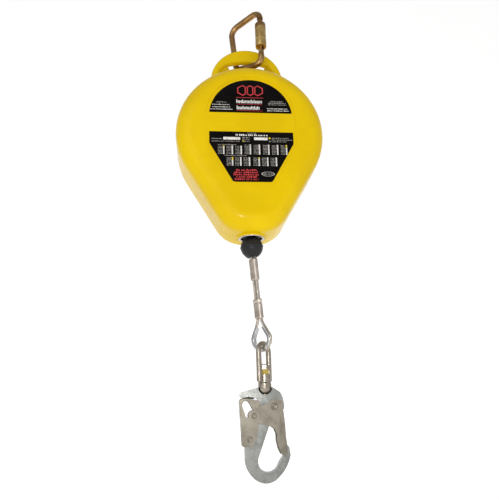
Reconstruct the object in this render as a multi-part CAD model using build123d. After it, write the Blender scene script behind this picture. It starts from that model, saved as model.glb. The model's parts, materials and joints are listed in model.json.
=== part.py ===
from build123d import *
import os
from math import acos, atan2, cos, degrees, hypot, radians, sin

os.makedirs("parts", exist_ok=True)

# A self retracting lifeline: a housing with a spring-driven rope drum, hung by a twist-lock
# carabiner, with a swivelling snap hook on the rope's end. Millimetres, +Z up, front towards -Y.
# Origin: where the anchor bears on the inside of the carabiner's crown, above the load line.

# ---------------------------------------------------------------- driving dimensions
HOUSING_Z = -223.0        # drum axis below the anchor point
HOUSING_R = 113.0         # big arc of the housing's outline, about the drum axis
TOE_R = 47.5              # bottom corners of the outline
TOE_X = 10.2
TOE_Z = -111.6
FRONT_DEPTH = 47.0        # parting plane to front face
REAR_DEPTH = 48.0
WALL = 3.0
FRONT_EDGE_R = 24.0       # outer rounding of the front face
REAR_EDGE_R = 12.0

LABEL_HALF_W = 62.6
LABEL_ARC_R = 62.6
LABEL_ARC_Z = 17.4
LABEL_FLAT_Z = 23.5
LABEL_LOW_TOP_Z = -9.0
LABEL_TAPER_Z = -27.5
LABEL_LOW_HALF_W = 28.5
LABEL_LOW_Z = -89.5
LABEL_CORNER_R = 6.0
LABEL_T = 0.5
RECESS_DEPTH = 0.8
RECESS_MARGIN = 4.8

HANDLE_R = 58.7           # outer arc of the handle
HANDLE_Z = 108.3
HANDLE_DEPTH = 14.0
HANDLE_BAR = 24.0
HANDLE_EDGE_R = 6.0
HANDLE_LEG = 15.5
HANDLE_FOOT_Z = 78.0
HANDLE_BOLT_X = 48.0
HANDLE_BOLT_Z = 86.0
BOLT_R = 4.0

ROPE_D = 4.76
DRUM_HUB_R = 50.0
DRUM_FLANGE_R = 76.0
DRUM_WIDTH = 20.0         # between the flanges
FLANGE_T = 2.5
ROPE_WOUND_R = 71.0
SHAFT_R = 8.0
PLATE_T = 3.0
PLATE_GAP = 3.0           # drum flange to frame plate
SIDE_FIT = 0.05           # radial clearance of a running fit
BODY_GAP = 0.3            # between pieces that move past each other

NOZZLE_Z = -160.3         # middle of the cable guide ring
RING_R = 19.5
RING_WIRE = 1.7
BALL_R = 17.3
BALL_Z = -174.3
LEAN = 4.2                # the stiff rope end leans sideways, degrees
EYE_TURN = -40.0          # the eye's plane about the rope
LEG_X = ROPE_D / 2 + 0.2
FERRULE_R = 4.4
UPPER_FERRULE = (18.0, 50.4)
LOWER_FERRULE = (77.8, 106.2)
APEX_R = 14.0             # bend where the legs leave the lower sleeve
APEX_RUN = 3.6
ENTRY_R = 60.0
EYE_S = 136.0             # eye centre below the ball centre, along the rope
EYE_R = 14.9              # rope centre line round the thimble
THIMBLE_WALL = 2.0
THIMBLE_WIDTH = 7.6

SWIVEL_X = 12.0
BOW_WIRE = 7.6
BOW_HALF = 12.4           # leg centre to swivel axis
BOW_TURN = 50.0
BOW_TOP_Z = -311.8
BOW_FOOT_Z = -361.0
BOW_BASE_Z = -368.5
STUD_SHANK_R = 4.0
BARREL_R = 9.3
BARREL_TOP_Z = -368.9
BARREL_BOTTOM_Z = -384.6
NUT_Z = -343.6

HOOK_Z = -375.0           # hook frame: swivel axis at the top of the forging
HOOK_T = 12.0
LEVER_IN = HOOK_T / 2 + 0.25
SHEET_T = 1.5
GATE_IN = LEVER_IN + SHEET_T + 0.35
GATE_PIVOT = (10.8, -25.4)
TAIL_PIN = (-17.5, -36.5)
LEVER_PIVOT = (-23.4, -66.2)
GATE_PIN_R = 3.0
TAIL_PIN_R = 2.4
LEVER_PIN_R = 2.6

CARABINER_TURN = 40.0
ROD_R = 5.0
GATE_U = 30.5
CROWN_Z = 234.0
SHOULDER_U = -29.5
SHOULDER_Z = 222.5
TOE_LEFT = (-20.0, 139.4)
TOE_RIGHT_Z = 130.4
HINGE_Z = 154.0
NOSE_Z = 216.0
TANG_T = 4.0
GATE_R = 4.3
SLEEVE_R = 9.0


# ---------------------------------------------------------------- helpers
def front_plane(y=0.0):
    """Sketch plane that faces the viewer: its x is +X, its y is +Z, its normal is -Y."""
    return Plane(origin=(0, y, 0), x_dir=(1, 0, 0), z_dir=(0, -1, 0))


def slab(face, y_low, y_high):
    """A flat outline, drawn in x and z, made solid between two depths."""
    return extrude(front_plane(y_high) * face, amount=y_high - y_low)


def polygon(points, radius=0.0):
    face = make_face(Polyline(*points, close=True))
    return fillet(face.vertices(), radius) if radius else face


def disc(radius, y_low, y_high, x=0.0, z=0.0):
    """A cylinder along Y."""
    return slab(Pos(x, z) * Circle(radius), y_low, y_high)


def rod(radius, z_low, z_high, x=0.0, y=0.0):
    """A cylinder along Z."""
    return Pos(x, y, (z_low + z_high) / 2) * Cylinder(radius, z_high - z_low)


def block(x0, x1, y0, y1, z0, z1):
    return Pos((x0 + x1) / 2, (y0 + y1) / 2, (z0 + z1) / 2) * Box(x1 - x0, y1 - y0, z1 - z0)


def tube(points, radii, radius):
    """A round bar along straight runs joined by tangent arcs."""
    path = FilletPolyline(*points, radius=radii)
    section = Plane(origin=path @ 0, z_dir=path % 0) * Circle(radius)
    return sweep(section, path=path)


def write(name, solid):
    export_step(solid, "parts/" + name + ".step")


# ---------------------------------------------------------------- housing
def housing_outline(inset=0.0):
    circles = [CenterArc((0, 0), HOUSING_R - inset, 0, 360)]
    for side in (-1, 1):
        circles.append(CenterArc((side * TOE_X, TOE_Z), TOE_R - inset, 0, 360))
    return make_hull(circles)


def rounded_half(depth, edge_r, side, inset=0.0):
    """Half of the housing, from the parting plane to a rounded face."""
    reach = depth - inset
    low, high = (-reach, 0.0) if side < 0 else (0.0, reach)
    body = slab(housing_outline(inset), low, high)
    face = body.faces().sort_by(Axis.Y)[0 if side < 0 else -1]
    return fillet(face.edges(), edge_r - inset)


def label_recess():
    upper = Pos(0, LABEL_ARC_Z) * Circle(LABEL_ARC_R + RECESS_MARGIN)
    upper -= Pos(0, LABEL_FLAT_Z - HOUSING_R) * Rectangle(2 * HOUSING_R, 2 * HOUSING_R)
    half = LABEL_HALF_W + RECESS_MARGIN
    low_half = LABEL_LOW_HALF_W + RECESS_MARGIN * 0.7
    lower = polygon([(-half, LABEL_FLAT_Z + 1), (half, LABEL_FLAT_Z + 1), (half, LABEL_TAPER_Z),
                     (low_half, LABEL_LOW_Z - RECESS_MARGIN), (-low_half, LABEL_LOW_Z - RECESS_MARGIN),
                     (-half, LABEL_TAPER_Z)])
    lower = fillet(lower.vertices().sort_by(Axis.Y)[0:2], LABEL_CORNER_R + RECESS_MARGIN)
    return slab(upper + lower, -FRONT_DEPTH - 1, -FRONT_DEPTH + RECESS_DEPTH)


def handle_slots():
    """One slot for each leg of the handle, through the top of the covers."""
    inner = HANDLE_R - HANDLE_LEG - BODY_GAP
    outer = HANDLE_R + BODY_GAP
    deep = HANDLE_DEPTH / 2 + BODY_GAP
    left = block(-outer, -inner, -deep, deep, HANDLE_FOOT_Z - 2, HOUSING_R + 5)
    right = block(inner, outer, -deep, deep, HANDLE_FOOT_Z - 2, HOUSING_R + 5)
    return left + right


SCREW_PLACES = [(-94.0, 34.0), (94.0, 34.0), (-87.0, -50.0), (87.0, -50.0), (-38.0, -126.0), (38.0, -126.0)]
BOSS_R = 5.5
SCREW_R = 2.0
INSERT_R = 3.0
INSERT_L = 8.0
SCREW_HEAD_R = 3.8
SCREW_HEAD_H = 3.0


def nozzle_lip():
    lip = rod(RING_R + 3.0, NOZZLE_Z - 0.5, TOE_Z - TOE_R + 8)
    lip = fillet(lip.edges().sort_by(Axis.Z)[0], 1.0)
    return lip


def nozzle_hole():
    return rod(RING_R + 0.1, NOZZLE_Z - 5, TOE_Z - TOE_R + 12)


def half_space(side):
    span = 400.0
    return block(-span, span, -span if side < 0 else 0, 0 if side < 0 else span, -span, span)


def cover(depth, edge_r, side):
    outer = rounded_half(depth, edge_r, side) + (nozzle_lip() & half_space(side))
    inner = rounded_half(depth, edge_r, side, WALL)
    shell = outer - inner
    face = side * (depth - WALL)
    bosses = []
    for x, z in SCREW_PLACES:
        bosses.append(disc(BOSS_R, min(0, face), max(0, face), x, z))
    shell = shell + [boss & rounded_half(depth, edge_r, side) for boss in bosses]
    shell -= nozzle_hole()
    shell -= handle_slots()
    return shell


def front_cover():
    shell = cover(FRONT_DEPTH, FRONT_EDGE_R, -1) - label_recess()
    for x, z in SCREW_PLACES:
        shell -= disc(INSERT_R, -INSERT_L, 0, x, z)
    return shell


def rear_cover():
    shell = cover(REAR_DEPTH, REAR_EDGE_R, 1)
    for x, z in SCREW_PLACES:
        shell -= disc(SCREW_R + 0.3, 0, REAR_DEPTH, x, z)
        shell -= disc(SCREW_HEAD_R + 0.3, REAR_DEPTH - SCREW_HEAD_H - 1.5, REAR_DEPTH, x, z)
    return shell


def cover_inserts():
    group = []
    for x, z in SCREW_PLACES:
        group.append(disc(INSERT_R, -INSERT_L, 0, x, z) - disc(SCREW_R, -INSERT_L, 0, x, z))
    return Compound(group)


def cover_screws():
    seat = REAR_DEPTH - SCREW_HEAD_H - 1.5
    group = []
    for x, z in SCREW_PLACES:
        screw = disc(SCREW_R, -INSERT_L + 1, seat, x, z) + disc(SCREW_HEAD_R, seat, seat + SCREW_HEAD_H, x, z)
        socket = slab(Pos(x, z) * RegularPolygon(2.0, 6), seat + 1, seat + SCREW_HEAD_H + 1)
        group.append(screw - socket)
    return Compound(group)


def label_upper():
    face = Pos(0, LABEL_ARC_Z) * Circle(LABEL_ARC_R)
    face -= Pos(0, LABEL_FLAT_Z - HOUSING_R) * Rectangle(2 * HOUSING_R, 2 * HOUSING_R)
    floor = -FRONT_DEPTH + RECESS_DEPTH
    return slab(face, floor - LABEL_T, floor)


def label_lower():
    face = polygon([(-LABEL_HALF_W, LABEL_LOW_TOP_Z), (LABEL_HALF_W, LABEL_LOW_TOP_Z),
                    (LABEL_HALF_W, LABEL_TAPER_Z), (LABEL_LOW_HALF_W, LABEL_LOW_Z),
                    (-LABEL_LOW_HALF_W, LABEL_LOW_Z), (-LABEL_HALF_W, LABEL_TAPER_Z)])
    face = fillet(face.vertices().sort_by(Axis.Y)[0:2], LABEL_CORNER_R)
    floor = -FRONT_DEPTH + RECESS_DEPTH
    return slab(face, floor - LABEL_T, floor)


def nozzle_ring():
    ring = rod(RING_R, NOZZLE_Z - RING_WIRE, NOZZLE_Z + RING_WIRE)
    ring -= rod(RING_R - 2 * RING_WIRE, NOZZLE_Z - 5, NOZZLE_Z + 5)
    return fillet(ring.edges(), RING_WIRE * 0.8)


def rope_guide():
    """Plastic funnel above the ring: the rope's throat, and the seat of the rubber ball."""
    top = NOZZLE_Z + RING_WIRE + 22
    body = rod(RING_R - 0.4, NOZZLE_Z + RING_WIRE, top)
    body -= Pos(0, 0, BALL_Z) * Sphere(BALL_R + 1.0)
    body -= rod(ROPE_D / 2 + 1.6, NOZZLE_Z, top + 1)
    mouth = fillet(body.edges().filter_by(GeomType.CIRCLE).sort_by(Axis.Z)[-2:], 1.2)
    return mouth


# ---------------------------------------------------------------- handle and frame
PLATE_IN = DRUM_WIDTH / 2 + FLANGE_T + PLATE_GAP
PLATE_OUT = PLATE_IN + PLATE_T


def anchor_handle():
    outer = Pos(0, HANDLE_Z) * Circle(HANDLE_R)
    outer -= Pos(0, HANDLE_Z - HANDLE_R) * Rectangle(2.2 * HANDLE_R, 2 * HANDLE_R)
    outer += Pos(0, (HANDLE_Z + HANDLE_FOOT_Z) / 2) * Rectangle(2 * HANDLE_R, HANDLE_Z - HANDLE_FOOT_Z)
    top = HANDLE_Z + HANDLE_R - HANDLE_BAR
    half = HANDLE_R - HANDLE_LEG
    foot = HANDLE_FOOT_Z + 15
    edges = [Line((-half, foot), (half, foot)), Line((half, foot), (half, top - 17)),
             Line((half, top - 17), (half * 0.78, top - 6)),
             ThreePointArc((half * 0.78, top - 6), (0, top), (-half * 0.78, top - 6)),
             Line((-half * 0.78, top - 6), (-half, top - 17)), Line((-half, top - 17), (-half, foot))]
    window = make_face(edges)
    corners = [v for v in window.vertices() if foot + 1 < v.Y]
    window = fillet(corners, 7.0)
    ring = slab(outer - window, -HANDLE_DEPTH / 2, HANDLE_DEPTH / 2)
    trim = slab(housing_outline(WALL + 1.0), -HANDLE_DEPTH, HANDLE_DEPTH)
    above = block(-HANDLE_R - 1, HANDLE_R + 1, -HANDLE_DEPTH, HANDLE_DEPTH, HOUSING_R * 0.86, HOUSING_R * 2)
    ring = ring & (trim + above)
    edge_r = min(HANDLE_EDGE_R, HANDLE_DEPTH / 2 - 1.0)
    ring = fillet(ring.edges().filter_by(Plane.XZ).filter_by(
        lambda e: e.center().Z > HANDLE_FOOT_Z + 22), edge_r)
    for x in (-HANDLE_BOLT_X, HANDLE_BOLT_X):
        ring -= disc(BOLT_R, -HANDLE_DEPTH, HANDLE_DEPTH, x, HANDLE_BOLT_Z)
    return ring


def plate_outline():
    arcs = [CenterArc((0, 0), 34.0, 0, 360), CenterArc((0, -84.0), 12.0, 0, 360)]
    for side in (-1, 1):
        arcs.append(CenterArc((side * HANDLE_BOLT_X, HANDLE_BOLT_Z), 9.0, 0, 360))
    return make_hull(arcs)


BEARING_R = 13.0


def frame_plate(side):
    plate = slab(plate_outline(), side * PLATE_OUT if side < 0 else PLATE_IN, -PLATE_IN if side < 0 else PLATE_OUT)
    plate -= disc(BEARING_R, -60, 60)
    for x, z, radius in [(-HANDLE_BOLT_X, HANDLE_BOLT_Z, BOLT_R), (HANDLE_BOLT_X, HANDLE_BOLT_Z, BOLT_R),
                         (0, -84.0, BOLT_R)]:
        plate -= disc(radius, -60, 60, x, z)
    return plate


def bolt(x, z, half):
    head = 5.0
    part = disc(BOLT_R, -half - head, half + head, x, z)
    for y0, y1 in ((-half - head, -half), (half, half + head)):
        part += slab(Pos(x, z) * RegularPolygon(6.8, 6), y0, y1)
    return part


def handle_bolts():
    return Compound([bolt(-HANDLE_BOLT_X, HANDLE_BOLT_Z, PLATE_OUT), bolt(HANDLE_BOLT_X, HANDLE_BOLT_Z, PLATE_OUT)])


def frame_bolt():
    return bolt(0, -84.0, PLATE_OUT)


def spacer_sleeve(x, z, y0, y1):
    return disc(BOLT_R + 3.0, y0, y1, x, z) - disc(BOLT_R, y0, y1, x, z)


def frame_spacers():
    group = [spacer_sleeve(0, -84.0, -PLATE_IN, PLATE_IN)]
    for x in (-HANDLE_BOLT_X, HANDLE_BOLT_X):
        group.append(spacer_sleeve(x, HANDLE_BOLT_Z, -PLATE_IN, -HANDLE_DEPTH / 2))
        group.append(spacer_sleeve(x, HANDLE_BOLT_Z, HANDLE_DEPTH / 2, PLATE_IN))
    return Compound(group)


def shaft_bushes():
    group = []
    for y0 in (-PLATE_OUT, PLATE_IN):
        group.append(disc(BEARING_R, y0, y0 + PLATE_T) - disc(SHAFT_R + SIDE_FIT, y0, y0 + PLATE_T))
    return Compound(group)


# ---------------------------------------------------------------- drum, spring, brake
CARRIER_Y = (-PLATE_OUT - 6.0, -PLATE_OUT - 2.0)
PAWL_Y = (-PLATE_OUT - 12.0, -PLATE_OUT - 6.3)
RATCHET_R = 46.0
RATCHET_TEETH = 12
RATCHET_ROOT_R = 40.0
RATCHET_TIP_R = 35.0
RATCHET_Y = (-PLATE_OUT - 13.0, -PLATE_OUT - 5.5)
BRAKE_T = 1.5
SPRING_Y = (PLATE_OUT + 3.0, PLATE_OUT + 19.0)
SPRING_CASE_R = 60.0
SPRING_OUT_R = 56.0
ARBOR_R = 14.0
STRIP_T = 0.9
SHAFT_Y = (-PLATE_OUT - 18.0, PLATE_OUT + 20.0)
KEY = 4.0


def main_shaft():
    shaft = disc(SHAFT_R, *SHAFT_Y)
    collar = disc(SHAFT_R + 3, -DRUM_WIDTH / 2 - FLANGE_T - 2.5, -DRUM_WIDTH / 2 - FLANGE_T)
    return shaft + collar + block(-KEY / 2, KEY / 2, -DRUM_WIDTH / 2, DRUM_WIDTH / 2, 0, SHAFT_R + KEY / 2)


def drum():
    """Cast drum: a rear flange, a hub that carries the rope, and a centre boss on spokes."""
    half = DRUM_WIDTH / 2
    body = disc(DRUM_HUB_R, -half, half) - disc(DRUM_HUB_R - 4, -half, half)
    body += disc(DRUM_FLANGE_R, half, half + FLANGE_T) - disc(DRUM_HUB_R - 4, half, half + FLANGE_T)
    web = disc(DRUM_HUB_R - 3, -2.0, 2.0)
    for i in range(6):
        angle = radians(60 * i + 30)
        web -= disc(9.0, -3, 3, 30 * cos(angle), 30 * sin(angle))
    body += web
    body += disc(SHAFT_R + 7, -half, half)
    body -= disc(SHAFT_R, -half - 5, half + 5)
    body -= block(-KEY / 2, KEY / 2, -half - 1, half + 1, 0, SHAFT_R + KEY / 2)
    return body


def drum_flange():
    half = DRUM_WIDTH / 2
    plate = disc(DRUM_FLANGE_R, -half - FLANGE_T, -half)
    plate -= disc(SHAFT_R, -half - FLANGE_T - 1, -half + 1)
    for i in range(6):
        angle = radians(60 * i)
        plate -= disc(8.0, -half - FLANGE_T - 1, -half + 1, 28 * cos(angle), 28 * sin(angle))
    return plate


def rope_wound():
    """The stored rope: lays side by side, as a ridged ring on the hub."""
    half = DRUM_WIDTH / 2
    ring = disc(ROPE_WOUND_R, -half, half) - disc(DRUM_HUB_R, -half, half)
    turns = int(DRUM_WIDTH / ROPE_D)
    pitch = DRUM_WIDTH / turns
    groove = 1.0
    for i in range(1, turns):
        y = -half + i * pitch
        cutter = disc(ROPE_WOUND_R + 1, y - groove / 2, y + groove / 2)
        ring -= cutter - disc(ROPE_WOUND_R - groove, y - groove, y + groove)
    return ring


def pawl_carrier():
    y0, y1 = CARRIER_Y
    plate = disc(24.0, y0, y1)
    for angle in PAWL_ANGLES:
        x, z = 20 * cos(radians(angle)), 20 * sin(radians(angle))
        plate += disc(7.0, y0, y1, x, z)
        plate -= disc(PAWL_PIN_R, y0 - 1, y1 + 1, x, z)
    return plate - disc(SHAFT_R, y0 - 1, y1 + 1)


PAWL_ANGLES = (90.0, 210.0, 330.0)
PAWL_PIN_R = 2.5
PAWL_ARM = 20.0


def turned(shape, angle):
    """Turn a shape about the drum axis, so that what lies up (+Z) comes to lie at an angle from +X."""
    return shape.rotate(Axis((0, 0, 0), (0, -1, 0)), angle - 90.0)


def pawl(angle):
    y0, y1 = PAWL_Y
    outline = polygon([(-4.5, 16.0), (3.0, 15.5), (7.0, 21.0), (14.5, 27.0), (13.5, 29.5), (3.0, 27.5), (-4.5, 24.0)], 1.0)
    body = slab(outline, y0, y1) - disc(PAWL_PIN_R + SIDE_FIT, y0 - 1, y1 + 1, 0, PAWL_ARM)
    return turned(body, angle)


def pawl_pins():
    group = []
    for angle in PAWL_ANGLES:
        x, z = PAWL_ARM * cos(radians(angle)), PAWL_ARM * sin(radians(angle))
        pin = disc(PAWL_PIN_R, PAWL_Y[0] - 0.5, CARRIER_Y[1], x, z)
        pin += disc(PAWL_PIN_R + 1.2, PAWL_Y[0] - 2.0, PAWL_Y[0] - 0.5, x, z)
        group.append(pin)
    return Compound(group)


def ratchet_ring():
    y0, y1 = RATCHET_Y
    ring = disc(RATCHET_R, y0, y1) - disc(RATCHET_TIP_R, y0 - 1, y1 + 1)
    step = 360.0 / RATCHET_TEETH
    for i in range(RATCHET_TEETH):
        start = radians(i * step)
        end = radians(i * step + step * 0.8)
        corner = [(RATCHET_TIP_R * 0.96 * cos(start), RATCHET_TIP_R * 0.96 * sin(start)),
                  (RATCHET_ROOT_R * cos(start), RATCHET_ROOT_R * sin(start)),
                  (RATCHET_TIP_R * 0.99 * cos(end), RATCHET_TIP_R * 0.99 * sin(end))]
        ring -= slab(polygon(corner), y0 - 1, y1 + 1)
    return ring


def clamp_places():
    radius = RATCHET_R + 6.0
    return [(radius * cos(radians(a)), radius * sin(radians(a))) for a in (10, 82, 154, 226, 298)]


def brake_back_plate():
    """Steel ring bolted to the frame that the brake is clamped against."""
    y1 = -PLATE_OUT
    y0 = RATCHET_Y[1] + BRAKE_T
    plate = disc(RATCHET_R + 11, y0, y1) - disc(30.0, y0 - 1, y1 + 1)
    for x, z in clamp_places():
        plate -= disc(2.5, y0 - 1, y1 + 1, x, z)
    return plate


def brake_discs():
    back = disc(RATCHET_R, RATCHET_Y[1], RATCHET_Y[1] + BRAKE_T) - disc(RATCHET_ROOT_R + 1, -90, 90)
    front = disc(RATCHET_R, RATCHET_Y[0] - BRAKE_T, RATCHET_Y[0]) - disc(RATCHET_ROOT_R + 1, -90, 90)
    return Compound([back, front])


def pressure_plate():
    y1 = RATCHET_Y[0] - BRAKE_T
    plate = disc(RATCHET_R + 11, y1 - 2.5, y1) - disc(RATCHET_TIP_R + 4, y1 - 4, y1 + 1)
    for x, z in clamp_places():
        plate -= disc(2.5, y1 - 4, y1 + 1, x, z)
    return plate


def clamp_screws():
    y0 = RATCHET_Y[0] - BRAKE_T - 2.5
    group = []
    for x, z in clamp_places():
        screw = disc(2.5, y0, -PLATE_OUT, x, z) + slab(Pos(x, z) * RegularPolygon(4.6, 6), y0 - 3.0, y0)
        group.append(screw)
    return Compound(group)


def shaft_nut():
    y0 = SHAFT_Y[0] + 1.0
    return slab(RegularPolygon(13.0, 6), y0, CARRIER_Y[0] - 6.9 + 1.0) - disc(SHAFT_R, -90, 0)


def spring_case():
    y0, y1 = SPRING_Y
    case = disc(SPRING_CASE_R, PLATE_OUT, y1 + 2.0) - disc(SPRING_OUT_R + 1.0, y0 - 1, y1)
    case -= disc(SHAFT_R + 3, PLATE_OUT - 1, y1 + 3)
    return case


def spring_arbor():
    y0, y1 = SPRING_Y
    return disc(ARBOR_R, y0 + 0.5, y1 - 0.5) - disc(SHAFT_R, y0, y1)


def power_spring():
    """Flat strip spring, wound out to the case's wall: concentric coils joined by short steps."""
    y0, y1 = SPRING_Y[0] + 1.5, SPRING_Y[1] - 1.5
    coils = 5
    start_r = 40.0
    pitch = (SPRING_OUT_R - start_r) / coils
    spring = None
    for i in range(coils):
        radius = start_r + i * pitch
        ring = disc(radius + STRIP_T, y0, y1) - disc(radius, y0 - 1, y1 + 1)
        link = block(0, 6.0, y0, y1, radius, radius + pitch + STRIP_T)
        link &= disc(radius + pitch + STRIP_T, y0, y1) - disc(radius, y0 - 1, y1 + 1)
        link -= block(STRIP_T * 1.5, 9.0, y0 - 1, y1 + 1, 0, radius + pitch)
        piece = ring + (link if i < coils - 1 else [])
        spring = piece if spring is None else spring + piece
    lead = block(-STRIP_T, STRIP_T, y0, y1, ARBOR_R + 0.02, start_r + STRIP_T / 2)
    return spring + lead


# ---------------------------------------------------------------- rope
def line_place():
    """Where the rope end's own frame lies: origin at the ball centre, -z along the rope."""
    return Pos(0, 0, HOUSING_Z + BALL_Z) * Rot(0, -LEAN, 0) * Rot(0, 0, EYE_TURN)


def eye_tangent():
    """Height of the legs' last point, and where the left leg meets the arc round the thimble."""
    apex_s = LOWER_FERRULE[1] + APEX_RUN
    dx, dz = -LEG_X, EYE_S - apex_s
    angle = atan2(dz, dx) + acos(EYE_R / hypot(dx, dz))
    return apex_s, EYE_R * cos(angle), -EYE_S + EYE_R * sin(angle)


def eye_arc():
    apex_s, x, z = eye_tangent()
    return ThreePointArc((x, 0, z), (0, 0, -EYE_S - EYE_R), (-x, 0, z))


def sweep_from(path, start, direction, face):
    return sweep(Plane(origin=start, x_dir=(0, 1, 0), z_dir=direction) * face, path=path)


def rope_end():
    apex_s, x, z = eye_tangent()
    top = (0, 0, BALL_R - 0.2)
    left = FilletPolyline(top, (0, 0, -1.0), (-LEG_X, 0, -UPPER_FERRULE[0] - 6), (-LEG_X, 0, -apex_s),
                          (x, 0, z), radius=[ENTRY_R, ENTRY_R, APEX_R])
    right = FilletPolyline((-x, 0, z), (LEG_X, 0, -apex_s), (LEG_X, 0, -UPPER_FERRULE[0] - 2), radius=[APEX_R])
    print("rope end arc radii", ENTRY_R, ENTRY_R, APEX_R, EYE_R, APEX_R)
    path = Wire(left.edges() + [eye_arc().edge()] + right.edges())
    return sweep_from(path, top, (0, 0, -1), Circle(ROPE_D / 2))


def rope_run():
    """The short straight stretch between the guide's throat and the ball."""
    top = NOZZLE_Z + RING_WIRE + 20
    return rod(ROPE_D / 2, BALL_Z + BALL_R + 0.1, top)


def rope_lead():
    """Inside stretch from the drum's tangent to the throat."""
    throat = NOZZLE_Z + RING_WIRE + 20
    radius = ROPE_WOUND_R + ROPE_D / 2 + 0.3
    corner_z = throat + 14.0
    reach = -corner_z
    end_angle = -degrees(acos(radius / reach))
    end = (radius * cos(radians(end_angle)), 0, radius * sin(radians(end_angle)))
    points = [(0, 0, throat), (0, 0, corner_z), end]
    return tube(points, [24.0], ROPE_D / 2)


def two_lobe(s_low, s_high, half_x, radius):
    face = make_hull([CenterArc((-half_x, 0), radius, 0, 360), CenterArc((half_x, 0), radius, 0, 360)])
    body = extrude(Plane.XY.offset(-s_high) * face, amount=s_high - s_low)
    body = fillet(body.edges().group_by(Axis.Z)[0] + body.edges().group_by(Axis.Z)[-1], 1.4)
    for x in (-half_x, half_x):
        body -= rod(ROPE_D / 2 + 0.02, -s_high - 1, -s_low + 1, x)
    return body


def ferrule_upper():
    """The live leg is still running in from the ball's centre at this sleeve's top."""
    body = two_lobe(*UPPER_FERRULE, LEG_X, FERRULE_R)
    points = [(0, 0, BALL_R), (0, 0, -1.0), (-LEG_X, 0, -UPPER_FERRULE[0] - 6), (-LEG_X, 0, -60)]
    return body - tube(points, [60.0, 60.0], ROPE_D / 2 + 0.02)


def ferrule_lower():
    return two_lobe(*LOWER_FERRULE, LEG_X, FERRULE_R)


def thimble():
    """Grooved steel liner: a rounded bar swept round the eye, less the rope that lies in it."""
    apex_s, x, z = eye_tangent()
    share = 0.42
    first = (-LEG_X + (x + LEG_X) * share, 0, -apex_s + (z + apex_s) * share)
    run = (x - first[0], 0, z - first[2])
    path = Wire([Line(first, (x, 0, z)), eye_arc().edge(), Line((-x, 0, z), (-first[0], 0, first[2]))])
    inner = ROPE_D / 2 + THIMBLE_WALL
    outer = 0.7
    bar = Pos(0, (inner - outer) / 2) * RectangleRounded(THIMBLE_WIDTH, inner + outer, 1.6)
    channel = sweep_from(path, first, run, bar)
    return channel - sweep_from(path, first, run, Circle(ROPE_D / 2 + 0.03))


def ball_bumper():
    """Rubber ball with one raised rib round its equator and four over its poles."""
    body = Sphere(BALL_R - 0.7)
    band = Torus(BALL_R - 1.6, 1.6)
    body += band
    for angle in (0, 90):
        body += Rot(0, 0, angle) * Rot(90, 0, 0) * band
    bore = rod(ROPE_D / 2 + 0.02, -BALL_R - 2, BALL_R + 2)
    return body - bore - rod(FERRULE_R + LEG_X + 0.3, -BALL_R - 2, -BALL_R + 2.2) - tube(
        [(0, 0, BALL_R + 3), (0, 0, -1.0), (-LEG_X, 0, -UPPER_FERRULE[0] - 6)], [60.0], ROPE_D / 2 + 0.02)


# ---------------------------------------------------------------- swivel
def swivel_place():
    return Pos(SWIVEL_X, 0, HOUSING_Z) * Rot(0, 0, BOW_TURN)


def swivel_bow():
    """Oblong bow: two legs and an arch, closed by a boss that the stud turns in."""
    centre_top = BOW_TOP_Z - BOW_WIRE / 2
    corner = BOW_HALF * 0.98
    points = [(-BOW_HALF, 0, BOW_FOOT_Z), (-BOW_HALF, 0, centre_top), (BOW_HALF, 0, centre_top),
              (BOW_HALF, 0, BOW_FOOT_Z)]
    bow = tube(points, [corner, corner], BOW_WIRE / 2)
    boss = rod(BARREL_R, BOW_BASE_Z, BOW_FOOT_Z + 3)
    yoke = block(-BOW_HALF, BOW_HALF, -BOW_WIRE / 2, BOW_WIRE / 2, BOW_BASE_Z + 1.5, BOW_FOOT_Z + 1)
    yoke += rod(BOW_WIRE / 2, BOW_BASE_Z + 1.5, BOW_FOOT_Z + 1, -BOW_HALF)
    yoke += rod(BOW_WIRE / 2, BOW_BASE_Z + 1.5, BOW_FOOT_Z + 1, BOW_HALF)
    return bow + boss + yoke - rod(STUD_SHANK_R + SIDE_FIT, BOW_BASE_Z - 1, BOW_FOOT_Z + 10)


INDICATOR_T = 6.5


def load_indicator():
    low = BOW_FOOT_Z + 3 + BODY_GAP
    return rod(6.2, low, low + INDICATOR_T) - rod(STUD_SHANK_R, low - 1, low + 20)


def swivel_nut():
    low = BOW_FOOT_Z + 3 + BODY_GAP + INDICATOR_T
    hexagon = Plane.XY.offset(low) * RegularPolygon(7.2, 6)
    return extrude(hexagon, amount=NUT_Z - low - 1.5) - rod(STUD_SHANK_R, low - 1, low + 30)


STUD_TAIL_Z = -396.0


def swivel_stud():
    barrel = rod(BARREL_R, BARREL_BOTTOM_Z, BARREL_TOP_Z)
    barrel = fillet(barrel.edges().sort_by(Axis.Z)[0], BARREL_R - 0.3)
    barrel = fillet(barrel.edges().sort_by(Axis.Z)[-1], 1.0)
    return barrel + rod(STUD_SHANK_R, STUD_TAIL_Z, NUT_Z)


# ---------------------------------------------------------------- snap hook
def hook_place():
    return Pos(SWIVEL_X, 0, HOUSING_Z + HOOK_Z)


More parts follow.
